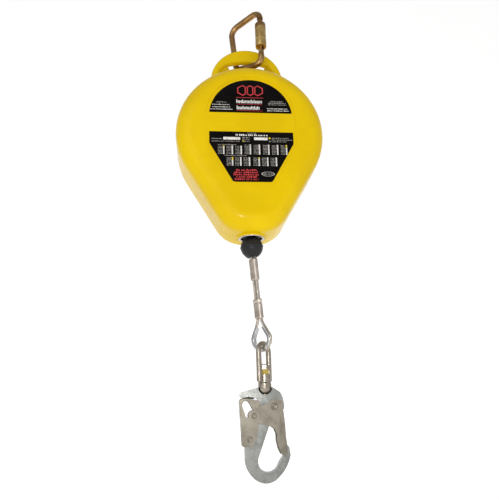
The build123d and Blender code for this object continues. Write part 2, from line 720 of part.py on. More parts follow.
def hook_outline():
    edges = [
        Polyline((-35.6, -9.5), (-31.7, -5.0), (-10.0, 0.0), (10.0, 0.0), (20.0, -6.6), (23.3, -13.2),
                 (25.2, -24.0), (24.4, -28.5), (15.0, -35.0), (3.0, -51.0), (-11.1, -86.8)),
        ThreePointArc((-11.1, -86.8), (-0.5, -107.4), (14.5, -97.0)),
        Polyline((14.5, -97.0), (22.0, -86.5), (23.4, -78.0), (26.5, -74.2), (29.4, -77.5), (30.6, -86.7)),
        ThreePointArc((30.6, -86.7), (24.6, -101.3), (14.4, -113.3)),
        ThreePointArc((14.4, -113.3), (-2.0, -120.5), (-19.9, -112.9)),
        ThreePointArc((-19.9, -112.9), (-27.3, -103.0), (-29.8, -89.2)),
        Polyline((-29.8, -89.2), (-30.0, -74.0), (-28.5, -60.5), (-20.0, -54.5), (-9.5, -47.0), (-7.3, -20.6),
                 (-12.2, -14.2), (-22.4, -11.8), (-33.0, -13.3), (-35.6, -9.5)),
    ]
    return make_face(edges)


def hook_body():
    body = slab(hook_outline(), -HOOK_T / 2, HOOK_T / 2)
    seat_r = BARREL_R + 0.4
    seat_z = BARREL_BOTTOM_Z - HOOK_Z + BARREL_R
    body -= disc(seat_r, -20, 20, 0, seat_z) + block(-seat_r, seat_r, -20, 20, seat_z, 5)
    body -= rod(STUD_SHANK_R, STUD_TAIL_Z - HOOK_Z, 5)
    body -= disc(GATE_PIN_R, -20, 20, *GATE_PIVOT)
    body -= disc(LEVER_PIN_R, -20, 20, *LEVER_PIVOT)
    panel = polygon([(-22.0, -73.0), (-17.0, -73.0), (-18.0, -88.0), (-23.5, -90.0)], 1.5)
    body -= slab(panel, -HOOK_T / 2 - 1, -HOOK_T / 2 + 0.6)
    return body


def gate_outline():
    plate = polygon([(-17.5, -29.7), (-4.8, -23.9), (2.1, -20.8), (7.4, -16.9), (15.2, -15.5), (22.0, -18.1),
                     (22.8, -28.8), (24.6, -48.2), (25.0, -64.1), (26.1, -73.2), (26.4, -85.0), (22.0, -87.5),
                     (18.7, -86.5), (15.5, -80.0), (13.2, -70.0), (13.2, -61.0), (10.4, -54.1), (5.2, -50.4),
                     (-10.7, -46.3), (-19.5, -43.0)], 1.2)
    return plate + Pos(*TAIL_PIN) * Circle(6.8)


WEB_LOW_Z = -70.5


def hook_gate():
    """Stamped channel: two cheeks over the forging, and a web down its outer edge above the nose."""
    outer = GATE_IN + SHEET_T
    body = slab(gate_outline(), -outer, outer)
    inside = slab(gate_outline(), -GATE_IN, GATE_IN)
    web_zone = block(20.9, 40.0, -GATE_IN, GATE_IN, WEB_LOW_Z, -31.0)
    stop_web = block(18.0, 21.8, -GATE_IN, GATE_IN, -83.0, -77.0)
    body -= inside - web_zone - stop_web
    for x, z in (GATE_PIVOT, TAIL_PIN):
        hole = GATE_PIN_R + SIDE_FIT if (x, z) == GATE_PIVOT else TAIL_PIN_R
        body -= disc(hole, -30, 30, x, z)
    return body


def rivet(place, radius, half, head_r, head_h):
    pin = disc(radius, -half, half, *place)
    for sign in (-1, 1):
        head = disc(head_r, min(sign * half, sign * (half + head_h)), max(sign * half, sign * (half + head_h)), *place)
        pin += head
    return pin


def gate_rivet():
    return rivet(GATE_PIVOT, GATE_PIN_R, GATE_IN + SHEET_T + 0.1, 4.6, 1.2)


def tail_rivet():
    return rivet(TAIL_PIN, TAIL_PIN_R, GATE_IN + SHEET_T, 3.9, 1.1)


def lever_rivet():
    return rivet(LEVER_PIVOT, LEVER_PIN_R, LEVER_IN + SHEET_T + 0.1, 4.0, 1.1)


def lever_outline():
    face = polygon([(-36.0, -17.0), (-33.6, -14.0), (-21.6, -14.6), (-11.6, -16.6), (-8.2, -22.0), (-10.5, -46.5),
                    (-13.0, -62.0), (-16.5, -70.0), (-19.3, -75.4), (-33.3, -75.0), (-33.9, -62.1),
                    (-35.0, -38.3), (-35.6, -26.2)], 1.5)
    slot = make_hull([CenterArc((-27.0, -22.6), 5.2, 0, 360), CenterArc((-26.2, -37.0), 1.4, 0, 360),
                      CenterArc(TAIL_PIN, TAIL_PIN_R + 1.0, 0, 360)])
    return face - slot


def lock_lever():
    """Stamped channel over the forging's back, with the slot that locks the gate's tail pin."""
    outer = LEVER_IN + SHEET_T
    body = slab(lever_outline(), -outer, outer)
    hollow = slab(Rectangle(200, 400), -LEVER_IN, LEVER_IN)
    web = slab(polygon([(-36.5, -18.0), (-33.9, -18.0), (-31.9, -60.0), (-34.5, -60.0)]), -LEVER_IN, LEVER_IN)
    body -= hollow - web
    return body - disc(LEVER_PIN_R + SIDE_FIT, -20, 20, *LEVER_PIVOT)


SPRING_WIRE_R = 0.6


def gate_spring():
    """Torsion spring: a ring round the gate pivot in the gap beside the forging, one leg each way."""
    y = -(HOOK_T / 2 + SPRING_WIRE_R + 0.3)
    ring = Pos(GATE_PIVOT[0], y, GATE_PIVOT[1]) * Rot(90, 0, 0) * Torus(4.6, SPRING_WIRE_R)
    leg = tube([(6.5, y, -27.5), (-1.0, y, -36.0), (-3.5, y, -44.0)], [6.0], SPRING_WIRE_R)
    return ring + leg


def lever_spring():
    """Bent wire between the forging's back and the lever's web."""
    return tube([(-9.8, 0, -24.0), (-13.6, 0, -33.0), (-13.4, 0, -41.0), (-10.8, 0, -45.0)], [5.0, 3.0],
                SPRING_WIRE_R * 1.2)


# ---------------------------------------------------------------- carabiner
def carabiner_plane():
    turn = radians(CARABINER_TURN)
    return Plane(origin=(0, 0, HOUSING_Z), x_dir=(cos(turn), -sin(turn), 0), z_dir=(-sin(turn), -cos(turn), 0))


def in_plane(u, z, out=0.0):
    turn = radians(CARABINER_TURN)
    return Vector(u * cos(turn) - out * sin(turn), -u * sin(turn) - out * cos(turn), z + HOUSING_Z)


def carabiner_body():
    corners = [(GATE_U, NOSE_Z), (GATE_U, CROWN_Z), (SHOULDER_U, SHOULDER_Z), TOE_LEFT, (GATE_U, TOE_RIGHT_Z),
               (GATE_U, HINGE_Z - 5.8)]
    body = tube([in_plane(u, z) for u, z in corners], [13.0, 15.0, 14.0, 12.0], ROD_R)
    plane = carabiner_plane()
    lower = Pos(GATE_U, HINGE_Z - 4) * RectangleRounded(2 * GATE_R - 0.6, 16, 3.5)
    upper = Pos(GATE_U, NOSE_Z - 2) * RectangleRounded(2 * GATE_R - 2.2, 12, 2.4)
    body += extrude(plane * lower, amount=TANG_T / 2, both=True)
    body += extrude(plane * upper, amount=TANG_T / 2, both=True)
    return body - pin_cutter(0.0)


def pin_cutter(gap):
    return extrude(carabiner_plane() * (Pos(GATE_U, HINGE_Z) * Circle(HINGE_PIN_R + gap)), amount=12, both=True)


HINGE_PIN_R = 1.8


def gate_axis(z_low, z_high, radius):
    centre = in_plane(GATE_U, (z_low + z_high) / 2)
    return Pos(centre.X, centre.Y, centre.Z) * Cylinder(radius, z_high - z_low)


def carabiner_gate():
    """Gate bar, forked at both ends over the body's tangs."""
    low, high = HINGE_Z - 4.0, NOSE_Z - 0.8
    bar = gate_axis(low, high, GATE_R)
    plane = carabiner_plane()
    slot = TANG_T / 2 + 0.2
    lower = Pos(GATE_U, low + 4) * Rectangle(20, 16.6)
    upper = Pos(GATE_U, high - 2) * Rectangle(20, 12.8)
    bar -= extrude(plane * lower, amount=slot, both=True)
    bar -= extrude(plane * upper, amount=slot, both=True)
    return bar - pin_cutter(SIDE_FIT)


def carabiner_gate_pin():
    return extrude(carabiner_plane() * (Pos(GATE_U, HINGE_Z) * Circle(HINGE_PIN_R)), amount=GATE_R - 0.1, both=True)


SLEEVE_Z = (161.5, 206.5)


def carabiner_sleeve():
    """Twist sleeve: two collars and a knurled middle, with flats between fine grooves."""
    low, high = SLEEVE_Z
    body = gate_axis(low, high, SLEEVE_R)
    body = fillet(body.edges(), 1.2)
    for z in (low + 7, high - 9):
        ring = gate_axis(z, z + 1.4, SLEEVE_R + 1) - gate_axis(z - 1, z + 3, SLEEVE_R - 0.6)
        body -= ring
    return body - gate_axis(low - 1, high + 1, GATE_R + 0.1)


# ---------------------------------------------------------------- write every piece
HOUSING_PARTS = {
    "front_cover": front_cover, "rear_cover": rear_cover, "cover_inserts": cover_inserts,
    "cover_screws": cover_screws, "label_upper": label_upper, "label_lower": label_lower,
    "nozzle_ring": nozzle_ring, "rope_guide": rope_guide, "anchor_handle": anchor_handle,
    "handle_bolts": handle_bolts, "frame_bolt": frame_bolt, "frame_spacers": frame_spacers,
    "shaft_bushes": shaft_bushes, "main_shaft": main_shaft, "drum": drum, "drum_flange": drum_flange,
    "rope_wound": rope_wound, "rope_lead": rope_lead, "rope_run": rope_run, "pawl_carrier": pawl_carrier,
    "pawl_pins": pawl_pins, "ratchet_ring": ratchet_ring, "brake_back_plate": brake_back_plate,
    "brake_discs": brake_discs, "pressure_plate": pressure_plate, "clamp_screws": clamp_screws,
    "shaft_nut": shaft_nut, "spring_case": spring_case, "spring_arbor": spring_arbor,
    "power_spring": power_spring,
}
LINE_PARTS = {"ball_bumper": ball_bumper, "ferrule_upper": ferrule_upper, "ferrule_lower": ferrule_lower,
              "rope_end": rope_end, "thimble": thimble}
SWIVEL_PARTS = {"swivel_bow": swivel_bow, "load_indicator": load_indicator, "swivel_nut": swivel_nut,
                "swivel_stud": swivel_stud}
HOOK_PARTS = {"hook_body": hook_body, "hook_gate": hook_gate, "gate_rivet": gate_rivet, "tail_rivet": tail_rivet,
              "lock_lever": lock_lever, "lever_rivet": lever_rivet, "gate_spring": gate_spring,
              "lever_spring": lever_spring}
CARABINER_PARTS = {"carabiner_body": carabiner_body, "carabiner_gate": carabiner_gate,
                   "carabiner_gate_pin": carabiner_gate_pin, "carabiner_sleeve": carabiner_sleeve}

for place, parts in ((Pos(0, 0, HOUSING_Z), HOUSING_PARTS), (line_place(), LINE_PARTS),
                     (swivel_place(), SWIVEL_PARTS), (hook_place(), HOOK_PARTS), (Pos(0, 0, 0), CARABINER_PARTS)):
    for name, make in parts.items():
        write(name, place * make())

for side, name in ((-1, "frame_plate_front"), (1, "frame_plate_rear")):
    write(name, Pos(0, 0, HOUSING_Z) * frame_plate(side))
for number, angle in enumerate(PAWL_ANGLES, start=1):
    write("pawl_%d" % number, Pos(0, 0, HOUSING_Z) * pawl(angle))
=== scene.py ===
# %% [markdown]
# # A self retracting lifeline, part by part
# The block hangs from a carabiner. Under it a short stretch of wire rope carries a ball, two
# pressed sleeves, a thimble, a swivel and a snap hook. The CAD model is the fixed frame: its
# pieces already have the right size and place, so this script gives them their finish, and
# builds anew the few pieces whose shape has more to show, such as the rope's strands.

# %% Load the frame
import json
import math
import random

import bmesh
import bpy
from mathutils import Matrix, Vector


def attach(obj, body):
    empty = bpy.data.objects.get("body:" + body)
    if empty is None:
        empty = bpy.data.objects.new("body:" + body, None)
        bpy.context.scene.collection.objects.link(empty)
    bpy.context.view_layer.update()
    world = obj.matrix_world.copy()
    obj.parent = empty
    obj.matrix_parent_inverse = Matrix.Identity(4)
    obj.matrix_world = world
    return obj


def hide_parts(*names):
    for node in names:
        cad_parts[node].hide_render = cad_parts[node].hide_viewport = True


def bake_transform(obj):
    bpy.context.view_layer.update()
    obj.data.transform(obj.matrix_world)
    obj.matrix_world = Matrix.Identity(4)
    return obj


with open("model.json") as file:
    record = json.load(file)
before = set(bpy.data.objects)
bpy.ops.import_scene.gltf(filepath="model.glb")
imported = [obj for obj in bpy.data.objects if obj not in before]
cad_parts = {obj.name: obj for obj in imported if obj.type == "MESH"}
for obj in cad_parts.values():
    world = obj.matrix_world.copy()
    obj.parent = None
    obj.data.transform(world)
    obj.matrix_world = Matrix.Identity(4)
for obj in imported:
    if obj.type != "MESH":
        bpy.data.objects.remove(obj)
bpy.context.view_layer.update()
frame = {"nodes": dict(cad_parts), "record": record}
nodes = frame["nodes"]
record = frame["record"]
body_of_node = {}
for body, members in record["behaviour"]["bodies"].items():
    for member in members:
        body_of_node[member] = body
slot_of_node = {row["node"]: row["material_slot"] for row in record["subparts"]}
MM = 0.001
DRUM_Z = -223.0

# %% [markdown]
# ## The camera
# A camera is easiest to aim with three unit vectors: right, up and back. The block is seen from
# a little below and from its left, with a slight roll, so the vectors are worked out from those
# three angles and written as the columns of the camera's matrix.

# %% Camera
AZIMUTH, ELEVATION, ROLL = (math.radians(v) for v in (-5.59, -16.37, -1.69))
AIM = Vector((-3.47, 0.0, -401.27)) * MM
CAMERA_DISTANCE = 0.7515
SENSOR = 36.0
FOCAL_SHARE = 507.77 / 499

back = Vector((math.sin(AZIMUTH) * math.cos(ELEVATION), -math.cos(AZIMUTH) * math.cos(ELEVATION),
               math.sin(ELEVATION)))
level = Vector((math.cos(AZIMUTH), math.sin(AZIMUTH), 0.0))
lift = back.cross(level)
right = level * math.cos(ROLL) + lift * math.sin(ROLL)
up = lift * math.cos(ROLL) - level * math.sin(ROLL)
camera_data = bpy.data.cameras.new("camera")
camera_data.sensor_fit = "HORIZONTAL"
camera_data.sensor_width = SENSOR
camera_data.lens = SENSOR * FOCAL_SHARE
camera_data.clip_start = 0.01
camera = bpy.data.objects.new("camera", camera_data)
bpy.context.scene.collection.objects.link(camera)
camera.matrix_world = (Matrix.Translation(AIM + back * CAMERA_DISTANCE)
                       @ Matrix((right, up, back)).transposed().to_4x4())
bpy.context.scene.camera = camera
print("camera at", [round(v, 3) for v in camera.location], "lens", round(camera_data.lens, 2))

# %% [markdown]
# ## Materials as recipes
# A procedural material is a sum: noise times a scale plus a colour. Wiring that by hand hides the
# sum, so a small class wraps each socket and lets Python's operators add the Math nodes.
# Colours go through Mix nodes, because a Math node would turn them grey.


# %% Recipe helpers
class Value:
    """A socket of a material that Python's operators can use."""

    def __init__(self, recipe, socket):
        self.recipe = recipe
        self.socket = socket

    def join(self, operation, first, second=0.0):
        return self.recipe.node("ShaderNodeMath", {"operation": operation}, {0: first, 1: second})

    def __add__(self, other):
        return self.join("ADD", self, other)

    def __sub__(self, other):
        return self.join("SUBTRACT", self, other)

    def __mul__(self, other):
        return self.join("MULTIPLY", self, other)

    def __pow__(self, other):
        return self.join("POWER", self, other)

    def sine(self):
        return self.join("SINE", self)

    def angle_to(self, other):
        return self.join("ARCTAN2", self, other)


class Recipe:
    """A material, built one node at a time."""

    def __init__(self, name, shown):
        self.material = bpy.data.materials.new(name)
        self.material.use_nodes = True
        self.material.diffuse_color = (*shown, 1.0)
        self.tree = self.material.node_tree
        self.tree.nodes.clear()
        self.object_space = None

    def node(self, kind, settings=None, inputs=None, output=0):
        made = self.tree.nodes.new(kind)
        for key, value in (settings or {}).items():
            setattr(made, key, value)
        for key, value in (inputs or {}).items():
            if isinstance(value, Value):
                self.tree.links.new(value.socket, made.inputs[key])
            else:
                made.inputs[key].default_value = value
        return Value(self, made.outputs[output])

    def space(self):
        if self.object_space is None:
            self.object_space = self.node("ShaderNodeTexCoord", output="Object")
        return self.object_space

    def place(self, move=(0, 0, 0), turn=(0, 0, 0), scale=(1, 1, 1)):
        """Object coordinates, moved, turned and scaled for one pattern."""
        return self.node("ShaderNodeMapping", {"vector_type": "POINT"},
                         {"Vector": self.space(), "Location": move, "Rotation": turn, "Scale": scale})

    def axes(self, where=None):
        found = self.node("ShaderNodeSeparateXYZ", None, {0: where or self.space()})
        outputs = found.socket.node.outputs
        return [Value(self, outputs[i]) for i in range(3)]

    def noise(self, scale, detail=2.0, rough=0.5, where=None):
        return self.node("ShaderNodeTexNoise", {"noise_dimensions": "3D"},
                         {"Vector": where or self.space(), "Scale": scale, "Detail": detail,
                          "Roughness": rough})

    def band(self, value, low, high):
        """0 below low, 1 above high, and a smooth slope between."""
        return self.node("ShaderNodeMapRange", {"interpolation_type": "SMOOTHSTEP"},
                         {"Value": value, "From Min": low, "From Max": high})

    def mix(self, share, first, second):
        def colour(value):
            return value if isinstance(value, Value) else (*value, 1.0)

        return self.node("ShaderNodeMix", {"data_type": "RGBA"},
                         {0: share, 6: colour(first), 7: colour(second)}, 2)

    def bump(self, height, depth, strength=1.0):
        return self.node("ShaderNodeBump", None, {"Height": height, "Distance": depth, "Strength": strength})

    def done(self, base, rough, normal=None, **fixed):
        inputs = {"Base Color": base, "Roughness": rough}
        if normal is not None:
            inputs["Normal"] = normal
        for key, value in fixed.items():
            inputs[key.replace("_", " ")] = value
        shader = self.node("ShaderNodeBsdfPrincipled", None, inputs)
        self.node_output(shader)
        return self.material

    def node_output(self, shader):
        made = self.tree.nodes.new("ShaderNodeOutputMaterial")
        self.tree.links.new(shader.socket, made.inputs["Surface"])


print("recipe helpers ready")

# %% [markdown]
# ## Plated and turned steel
# Zinc plating is never one grey. It has soft cloudy patches a few centimetres wide, a fine
# grain from the steel under it, and duller spots where hands and anchors have rubbed. Three
# noises at three scales give those, and each metal here is that recipe with its own colours.


# %% Metals
def plated(name, light, dark, rough, patch=45.0, grain=900.0, depth=0.00004, worn=0.5):
    r = Recipe(name, light)
    clouds = r.band(r.noise(patch, 3.0, 0.6), 0.35, 0.68)
    specks = r.band(r.noise(grain * 0.45, 2.0, 0.7), 0.52, 0.75)
    rubbed = r.band(r.noise(patch * 4.0, 4.0, 0.65), 0.5, 0.62) * worn
    tone = r.mix(clouds, dark, light)
    tone = r.mix(specks * 0.35, tone, tuple(v * 0.6 for v in dark))
    tone = r.mix(rubbed * 0.35, tone, tuple(min(1.0, v * 1.25) for v in light))
    gloss = clouds * -0.08 + rough + 0.04 + specks * 0.12 - rubbed * 0.06
    hills = r.noise(grain, 2.0, 0.6) * 0.6 + r.noise(patch * 5.0, 2.0) * 0.8
    return r.done(tone, gloss, r.bump(hills, depth), Metallic=1.0)


def brushed_along(name, light, dark, rough, scale, depth=0.00003):
    """Fine lines that run across the scaled axis, as a stamping or a drawn bar has."""
    r = Recipe(name, light)
    lines = r.noise(1.0, 3.0, 0.7, r.place(scale=scale))
    clouds = r.band(r.noise(60.0, 3.0, 0.6), 0.36, 0.66)
    marks = r.band(r.noise(260.0, 4.0, 0.7), 0.58, 0.7)
    tone = r.mix(clouds, dark, light)
    tone = r.mix(marks * 0.4, tone, tuple(v * 0.55 for v in dark))
    gloss = lines * 0.16 + rough - 0.06 + marks * 0.1
    return r.done(tone, gloss, r.bump(lines + marks * -0.5, depth), Metallic=1.0)


def turned_about_drum(name, light, dark, rough, pitch=0.0009, depth=0.00004, metal=1.0):
    """Rings about the drum's axis, which a lathe leaves on a flat face."""
    r = Recipe(name, light)
    x, y, z = r.axes(r.place(move=(0, 0, -DRUM_Z * MM)))
    radius = (x * x + z * z) ** 0.5
    rings = (radius * (2 * math.pi / pitch) + r.noise(90.0) * 3.0).sine()
    clouds = r.band(r.noise(70.0, 3.0, 0.6), 0.36, 0.66)
    stains = r.band(r.noise(25.0, 4.0, 0.6), 0.55, 0.7)
    tone = r.mix(clouds, dark, light)
    tone = r.mix(stains * 0.3, tone, tuple(v * 0.6 for v in dark))
    gloss = clouds * -0.06 + rough + rings * 0.04 + stains * 0.08
    return r.done(tone, gloss, r.bump(rings * 0.4 + clouds, depth), Metallic=metal)


print("metal recipes ready")

# %% [markdown]
# ## The yellow moulding
# The housing is a thick glossy moulding in one strong yellow. Up close such a surface has a
# faint orange peel, hairline scuffs, and dust that dulls its gloss in patches. The colour only
# changes a little, so most of the work is in the roughness and in a very shallow bump.


# %% Plastics and rubber
def moulded(name, light, dark, rough, peel=0.00005, coat=0.07):
    r = Recipe(name, light)
    clouds = r.band(r.noise(14.0, 3.0, 0.55), 0.35, 0.68)
    dust = r.band(r.noise(55.0, 5.0, 0.65), 0.54, 0.72)
    scuff = r.band(r.noise(1.0, 4.0, 0.7, r.place(turn=(0.3, 0.5, 0.2), scale=(30, 30, 420))), 0.64, 0.72)
    tone = r.mix(clouds, dark, light)
    tone = r.mix(scuff * 0.25, tone, tuple(v * 0.8 + 0.05 for v in light))
    tone = r.mix(dust * 0.12, tone, tuple(v * 0.7 for v in dark))
    gloss = dust * 0.1 + rough + scuff * 0.16
    hills = r.noise(420.0, 1.0) + scuff * -0.4 + r.noise(60.0, 1.0) * 0.8
    return r.done(tone, gloss, r.bump(hills, peel), Coat_Weight=coat, Coat_Roughness=0.08,
                  Specular_IOR_Level=0.09)


def dull_black(name, tone_a, tone_b, rough, grain, depth, shine=0.22):
    r = Recipe(name, tone_a)
    clouds = r.band(r.noise(50.0, 4.0, 0.6), 0.38, 0.66)
    dust = r.band(r.noise(240.0, 4.0, 0.7), 0.52, 0.7)
    tone = r.mix(clouds, tone_b, tone_a)
    tone = r.mix(dust * 0.3, tone, tuple(v * 2.4 + 0.01 for v in tone_a))
    return r.done(tone, dust * 0.12 + rough, r.bump(r.noise(grain, 2.0, 0.6) + dust * 0.4, depth),
                  Specular_IOR_Level=shine)


def printed(name, light, dark, rough):
    """Printing ink: nearly even, a little rubbed, on a fine-grained film."""
    r = Recipe(name, light)
    rub = r.band(r.noise(180.0, 5.0, 0.7), 0.45, 0.68)
    tone = r.mix(rub, light, dark)
    return r.done(tone, rub * 0.1 + rough, r.bump(r.noise(1400.0, 1.0), 0.00001))


print("plastic recipes ready")

# %% [markdown]
# ## Wire rope as a pattern
# Where the rope is only a glimpse, a plain rod can carry its strands as a pattern: the angle
# round the rope plus the height makes a screw, and its sine gives six strands to each turn.
# The pattern reads the object's own space, so the strands keep their pitch when the rod grows.
# The dark grooves between strands are painted shade.

# %% Rope patterns
STRANDS = 6
LAY = 0.031
# The dark tone is used both as painted shade, in the grooves between strands, and as grime.
ROPE_LIGHT, ROPE_SHADE_AND_GRIME = (0.66, 0.60, 0.52), (0.20, 0.175, 0.15)


def rope_finish(r, phase, fine_phase):
    strand = phase.sine() * 0.5 + 0.5
    wires = fine_phase.sine() * 0.5 + 0.5
    grime = r.band(r.noise(160.0, 3.0, 0.6), 0.42, 0.7)
    # Painted shade: the grooves between strands are mixed towards the dark tone.
    tone = r.mix(r.band(strand, 0.05, 0.75), ROPE_SHADE_AND_GRIME, ROPE_LIGHT)
    tone = r.mix(grime * 0.4, tone, ROPE_SHADE_AND_GRIME)
    return r.done(tone, grime * 0.15 + 0.34, r.bump(strand + wires * 0.25, 0.0007), Metallic=1.0)


def straight_rope(name):
    r = Recipe(name, ROPE_LIGHT)
    x, y, z = r.axes()
    around = y.angle_to(x) * STRANDS
    phase = around + z * (2 * math.pi * STRANDS / LAY)
    return rope_finish(r, phase, phase * 3.0 + z * 2600.0)


def wound_rope(name):
    r = Recipe(name, ROPE_LIGHT)
    x, y, z = r.axes(r.place(move=(0, 0, -DRUM_Z * MM)))
    along = z.angle_to(x) * 71.0 * MM
    phase = along * (2 * math.pi * STRANDS / LAY) + y * 900.0
    return rope_finish(r, phase, phase * 3.0 + y * 2600.0)


print("rope patterns ready")

# %% [markdown]
# ## One finish for each slot
# The record names a material slot for every piece. Each slot gets one recipe here, and the CAD
# pieces inside the housing are dressed as carefully as those that show, because the covers may
# be taken off in a later scene.

# %% Finishes
YELLOW, YELLOW_DEEP = (0.76, 0.52, 0.0), (0.70, 0.47, 0.0)
finish = {
    "gold_steel": plated("gold_zinc", (0.40, 0.235, 0.095), (0.235, 0.13, 0.048), 0.25, patch=38.0),
    "gold_sleeve": plated("gold_zinc_bright", (0.60, 0.42, 0.16), (0.43, 0.285, 0.10), 0.3, patch=60.0),
    "yellow_shell": moulded("yellow_moulding", YELLOW, YELLOW_DEEP, 0.24),
    # The handle's yellow is 3% darker than the housing's, as painted shade on the handle's bar, which is seen
    # from below.
    "yellow_handle": moulded("yellow_handle", tuple(v * 0.97 for v in YELLOW), YELLOW_DEEP, 0.3, coat=0.05),
    "label": dull_black("label_film", (0.003, 0.0022, 0.0022), (0.005, 0.004, 0.004), 0.4, 900.0,
                        0.00001, 0.03),
    "ring_steel": plated("ring_polish", (0.72, 0.66, 0.57), (0.52, 0.46, 0.38), 0.16, patch=90.0),
    "black_plastic": dull_black("guide_plastic", (0.012, 0.012, 0.013), (0.02, 0.02, 0.02), 0.42, 500.0,
                                0.00003),
    "rubber": dull_black("ball_rubber", (0.011, 0.011, 0.012), (0.018, 0.018, 0.02), 0.4, 320.0, 0.00012),
    "aluminium": brushed_along("sleeve_aluminium", (0.66, 0.585, 0.51), (0.50, 0.43, 0.365), 0.3,
                               (900, 900, 60)),
    "wire_rope": straight_rope("rope_straight"),
    "bright_zinc": plated("thimble_zinc", (0.70, 0.70, 0.70), (0.44, 0.44, 0.45), 0.17, patch=80.0),
    "zinc_steel": plated("bow_zinc", (0.44, 0.395, 0.33), (0.31, 0.27, 0.22), 0.31, patch=70.0),
    "hook_steel": plated("forged_zinc", (0.33, 0.335, 0.315), (0.21, 0.213, 0.2), 0.34, patch=55.0,
                         depth=0.00009),
    "warm_steel": brushed_along("stamped_zinc", (0.27, 0.245, 0.2), (0.195, 0.175, 0.14), 0.38,
                                (700, 700, 120)),
    "indicator_yellow": printed("indicator_yellow", (0.62, 0.46, 0.07), (0.36, 0.26, 0.04), 0.4),
    "frame_steel": turned_about_drum("frame_paint", (0.10, 0.105, 0.11), (0.06, 0.063, 0.067), 0.45,
                                     metal=0.0),
    "bright_steel": turned_about_drum("turned_steel", (0.58, 0.58, 0.585), (0.42, 0.42, 0.43), 0.26),
    "cast_drum": turned_about_drum("cast_aluminium", (0.60, 0.61, 0.62), (0.43, 0.44, 0.45), 0.42, 0.002,
                                   0.00012),
    "brass": plated("brass_insert", (0.70, 0.50, 0.19), (0.52, 0.35, 0.11), 0.28, patch=120.0),
    "bronze": turned_about_drum("sintered_bronze", (0.52, 0.33, 0.16), (0.38, 0.23, 0.10), 0.4, 0.0006),
    "spring_steel": brushed_along("blued_spring", (0.17, 0.18, 0.22), (0.09, 0.095, 0.12), 0.3,
                                  (60, 1200, 60)),
    "brake_lining": dull_black("brake_lining", (0.13, 0.10, 0.075), (0.08, 0.06, 0.045), 0.78, 700.0,
                               0.00015),
    "black_steel": plated("black_screws", (0.055, 0.055, 0.06), (0.03, 0.03, 0.033), 0.38, patch=150.0),
}
rope_on_drum = wound_rope("rope_on_drum")
for name, node in nodes.items():
    material = rope_on_drum if name == "rope_wound" else finish[slot_of_node[name]]
    node.data.materials.clear()
    node.data.materials.append(material)
print(len(finish) + 1, "finishes on", len(nodes), "nodes")

# %% [markdown]
# ## Pieces
# Every new piece ends the same way: its mesh becomes an object at the origin, it takes the finish
# of its slot, and it rides on the body of the CAD piece that it stands for. One helper does that.
# A piece that crosses a joint gets no body here.


# %% Piece helper
def piece(name, bm, body, slot, stands_for=(), material=None, sharp=35.0, flat=False):
    mesh = bpy.data.meshes.new(name)
    bm.to_mesh(mesh)
    bm.free()
    mesh.materials.append(material or finish[slot])
    mesh.shade_smooth()
    mesh.set_sharp_from_angle(angle=math.radians(sharp))
    made = bpy.data.objects.new(name, mesh)
    bpy.context.scene.collection.objects.link(made)
    if flat:
        even = made.modifiers.new("even_normals", "WEIGHTED_NORMAL")
        even.keep_sharp = True
    if body:
        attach(made, body)
    if stands_for:
        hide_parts(*stands_for)
    print(name, len(mesh.polygons), "faces on", body or "two bodies")
    return made


print("piece helper ready")

# %% [markdown]
# ## The rope end
# The wire rope leaves the ball, passes two pressed sleeves and goes round the thimble. Its
# route is one smooth spline. Six strands and a core are then laid round the points of that
# spline, each strand a thin tube that screws round the route once in 31 mm.

# %% Rope end
ROPE_D = 4.76
LEG_X = ROPE_D / 2 + 0.2
LINE_PLACE = (Matrix.Translation(Vector((0, 0, DRUM_Z - 174.3)) * MM)
              @ Matrix.Rotation(math.radians(-4.2), 4, "Y") @ Matrix.Rotation(math.radians(-40.0), 4, "Z"))
ROPE_ROUTE = [(0, 17.1), (0, -1), (-LEG_X, -24), (-LEG_X, -40), (-LEG_X, -94), (-LEG_X, -109.8),
              (-11.0, -125.0), (-16.3, -134.5), (-12.0, -147.0), (0, -152.3), (12.0, -147.0), (16.3, -134.5),
              (11.0, -125.0), (LEG_X, -109.8), (LEG_X, -94), (LEG_X, -40), (LEG_X, -20)]


def spline_line(name, points):
    """Points along one smooth spline, as Blender works it out."""
    curve = bpy.data.curves.new(name, "CURVE")
    curve.dimensions = "3D"
    spline = curve.splines.new("NURBS")
    spline.points.add(len(points) - 1)
    for point, place in zip(spline.points, points):
        point.co = (*place, 1.0)
    spline.order_u = 3
    spline.use_endpoint_u = True
    spline.resolution_u = 24
    holder = bpy.data.objects.new(name, curve)
    bpy.context.scene.collection.objects.link(holder)
    bpy.context.view_layer.update()
    mesh = bpy.data.meshes.new_from_object(holder)
    line = [v.co.copy() for v in mesh.vertices]
    bpy.data.objects.remove(holder)
    bpy.data.meshes.remove(mesh)
    return line


def evenly(line, step):
    """The same line with its points one step apart."""
    out, left = [line[0]], step
    for a, b in zip(line, line[1:]):
        run = (b - a).length
        while run >= left and run > 0:
            a = a + (b - a) * (left / run)
            out.append(a)
            run, left = (b - a).length, step
        left -= run
    return out


def carried_frames(line):
    """A side vector at each point that turns no more than the line does."""
    sides, side = [], None
    for i, point in enumerate(line):
        ahead = (line[min(i + 1, len(line) - 1)] - line[max(i - 1, 0)]).normalized()
        side = ahead.orthogonal() if side is None else side - ahead * side.dot(ahead)
        side.normalize()
        sides.append((side.copy(), ahead.cross(side)))
    return sides


